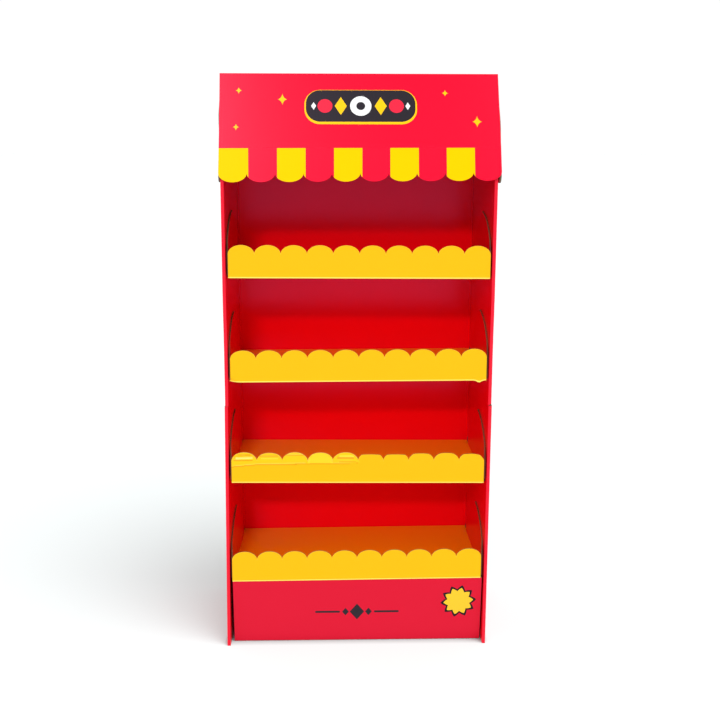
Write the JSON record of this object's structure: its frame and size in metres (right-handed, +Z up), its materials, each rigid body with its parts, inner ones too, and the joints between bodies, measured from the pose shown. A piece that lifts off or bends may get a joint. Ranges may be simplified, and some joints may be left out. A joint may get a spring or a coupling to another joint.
{
  "type": "cardboard display stand",
  "caption": "Free-standing corrugated cardboard display unit with doubled side walls, lipped shelf trays, a plain kick panel and a scalloped awning header.",
  "frame": {"origin": "on the floor, under the middle of the unit's outer box", "axes": "+Z up, the open front faces -Y, +X to the viewer's right"},
  "size_m": [0.613, 0.3625, 1.304],
  "materials": {
    "wall_board": "printed, semi-gloss",
    "awning_board": "printed, semi-gloss",
    "tray_board": "printed, semi-gloss",
    "kick_board": "printed, semi-gloss"
  },
  "bodies": {
    "root": {"body_wrap": "wall_board", "header": "awning_board", "shelf_tray_1": "tray_board", "shelf_tray_2": "tray_board", "shelf_tray_3": "tray_board", "shelf_tray_4": "tray_board", "kick_panel": "kick_board"}
  },
  "joints": []
}
